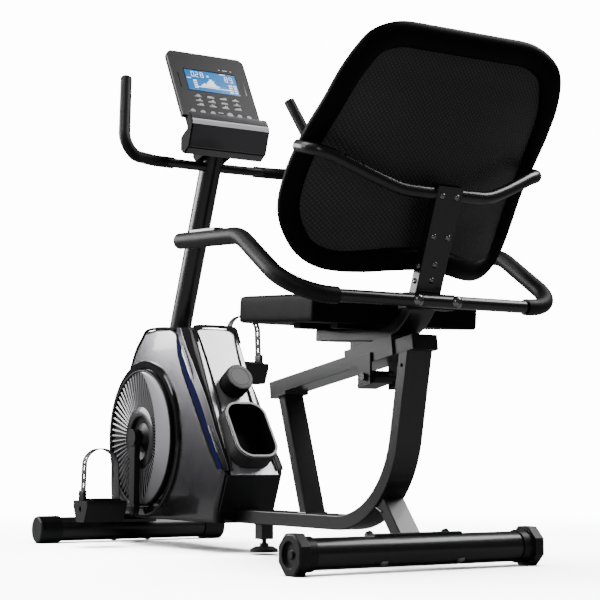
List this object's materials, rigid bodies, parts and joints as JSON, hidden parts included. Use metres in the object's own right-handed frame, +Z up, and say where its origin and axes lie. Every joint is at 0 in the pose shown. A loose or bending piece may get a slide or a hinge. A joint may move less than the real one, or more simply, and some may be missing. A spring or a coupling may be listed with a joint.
{
  "type": "recumbent exercise bike",
  "caption": "Recumbent exercise bike with a sliding padded seat, mesh backrest, upright console, two handlebars and a shrouded pedal drive.",
  "frame": {"origin": "on the floor, under the middle of the bike's bounding box", "axes": "+X forward from the seat to the pedals, +Y to the rider's left, +Z up"},
  "size_m": [1.4709, 0.6762, 1.1992],
  "materials": {
    "satin_black": "satin black powder coat",
    "plain_steel": "machined",
    "bright_bolt": "zinc and chrome plated",
    "moulded_black": "fine moulded grain",
    "gloss_black": "polished",
    "silver_shell": "metallic lacquer",
    "pale_spine": "metallic lacquer",
    "navy_strip": "lacquer",
    "dark_face": "fine texture",
    "lit_screen": "backlit liquid crystal",
    "black_foam": "closed-cell foam",
    "black_vinyl": "soft vinyl",
    "black_mesh": "woven mesh",
    "cast_rotor": "turned",
    "belt_rubber": "ribbed",
    "sensor_steel": "fine brushed"
  },
  "bodies": {
    "frame": {"main_frame": "satin_black", "seat_rail": "satin_black", "rail_end_plugs": "moulded_black", "frame_struts": "satin_black", "rear_stabilizer": "satin_black", "front_stabilizer": "satin_black", "rear_foot_caps": "moulded_black", "frame_fasteners": "bright_bolt", "mast": "satin_black", "drive_bracket": "satin_black", "crank_bearings": "plain_steel", "drive_belt": "belt_rubber", "flywheel_axle": "plain_steel", "shroud_left": "silver_shell", "shroud_right": "silver_shell", "rear_cover": "gloss_black", "spine_panel": "pale_spine", "bottle_cup": "gloss_black", "bottle_rim": "pale_spine", "side_rings": "gloss_black", "accent_strips": "navy_strip", "front_handlebar": "satin_black", "front_grips": "black_foam", "console_face": "dark_face", "console_screen": "lit_screen", "console_housing": "moulded_black", "console_shelf": "gloss_black"},
    "crank": {"crank_axles": "plain_steel", "crank_arm_left": "satin_black", "crank_arm_right": "satin_black", "turning_discs": "gloss_black", "drive_pulley": "moulded_black"},
    "flywheel": {"flywheel": "cast_rotor"},
    "pedal_left": {"pedal_left": "moulded_black", "strap_left": "moulded_black"},
    "pedal_right": {"pedal_right": "moulded_black", "strap_right": "moulded_black"},
    "brake": {"magnet_shoe": "plain_steel"},
    "knob": {"tension_knob": "moulded_black"},
    "leveller": {"leveller_foot": "moulded_black"},
    "roller_left": {"transport_roller_left": "moulded_black"},
    "roller_right": {"transport_roller_right": "moulded_black"},
    "seat": {"seat_saddle": "satin_black", "seat_post": "satin_black", "seat_cushion": "black_vinyl", "seat_handlebar": "satin_black", "seat_grips": "black_foam", "pulse_plates": "sensor_steel", "back_bracket": "satin_black", "support_tube": "satin_black", "back_rim": "black_vinyl", "back_mesh": "black_mesh", "seat_fasteners": "bright_bolt"},
    "lever": {"lock_lever": "moulded_black"},
    "key_1": {"button_1": "moulded_black"},
    "key_2": {"button_2": "moulded_black"},
    "key_3": {"button_3": "moulded_black"},
    "key_4": {"button_4": "moulded_black"},
    "key_5": {"button_5": "moulded_black"},
    "key_6": {"button_6": "moulded_black"}
  },
  "joints": [
    {"name": "seat_slide", "type": "slide", "parent": "frame", "child": "seat", "axis": [0.9906, 0, -0.137], "range_m": [-0.06, 0.25]},
    {"name": "crank_spin", "type": "hinge", "parent": "frame", "child": "crank", "pos_m": [0.4655, 0, 0.262], "axis": [0, 1, 0], "continuous": true},
    {"name": "flywheel_spin", "type": "hinge", "parent": "frame", "child": "flywheel", "pos_m": [0.3175, 0, 0.212], "axis": [0, 1, 0], "continuous": true},
    {"name": "pedal_left_spin", "type": "hinge", "parent": "crank", "child": "pedal_left", "pos_m": [0.4655, 0.198, 0.092], "axis": [0, 1, 0], "continuous": true},
    {"name": "pedal_right_spin", "type": "hinge", "parent": "crank", "child": "pedal_right", "pos_m": [0.4655, -0.198, 0.432], "axis": [0, 1, 0], "continuous": true},
    {"name": "knob_turn", "type": "hinge", "parent": "frame", "child": "knob", "pos_m": [0.1775, 0, 0.378], "axis": [-0.871, 0, 0.4912], "range_deg": [0, 270]},
    {"name": "brake_swing", "type": "hinge", "parent": "frame", "child": "brake", "pos_m": [0.4055, 0, 0.286], "axis": [0, 1, 0], "range_deg": [0, 7]},
    {"name": "lever_swing", "type": "hinge", "parent": "seat", "child": "lever", "pos_m": [-0.4285, 0, 0.376], "axis": [0, 1, 0], "range_deg": [0, 50]},
    {"name": "leveller_screw", "type": "slide", "parent": "frame", "child": "leveller", "axis": [0, 0, 1], "range_m": [-0.006, 0.008]},
    {"name": "roller_left_spin", "type": "hinge", "parent": "frame", "child": "roller_left", "pos_m": [0.7015, 0.233, 0.034], "axis": [0, 1, 0], "continuous": true},
    {"name": "roller_right_spin", "type": "hinge", "parent": "frame", "child": "roller_right", "pos_m": [0.7015, -0.233, 0.034], "axis": [0, 1, 0], "continuous": true},
    {"name": "key_1_press", "type": "slide", "parent": "frame", "child": "key_1", "axis": [0.8821, 0, -0.471], "range_m": [0, 0.0015], "stiffness_N_per_m": 300},
    {"name": "key_2_press", "type": "slide", "parent": "frame", "child": "key_2", "axis": [0.8821, 0, -0.471], "range_m": [0, 0.0015], "stiffness_N_per_m": 300},
    {"name": "key_3_press", "type": "slide", "parent": "frame", "child": "key_3", "axis": [0.8821, 0, -0.471], "range_m": [0, 0.0015], "stiffness_N_per_m": 300},
    {"name": "key_4_press", "type": "slide", "parent": "frame", "child": "key_4", "axis": [0.8821, 0, -0.471], "range_m": [0, 0.0015], "stiffness_N_per_m": 300},
    {"name": "key_5_press", "type": "slide", "parent": "frame", "child": "key_5", "axis": [0.8821, 0, -0.471], "range_m": [0, 0.0015], "stiffness_N_per_m": 300},
    {"name": "key_6_press", "type": "slide", "parent": "frame", "child": "key_6", "axis": [0.8821, 0, -0.471], "range_m": [0, 0.0015], "stiffness_N_per_m": 300}
  ],
  "couplings": [
    {"joint": "flywheel_spin", "follows": "crank_spin", "ratio": 6.6667},
    {"joint": "pedal_left_spin", "follows": "crank_spin", "ratio": -1},
    {"joint": "pedal_right_spin", "follows": "crank_spin", "ratio": -1},
    {"joint": "brake_swing", "follows": "knob_turn", "ratio": 0.0259}
  ]
}
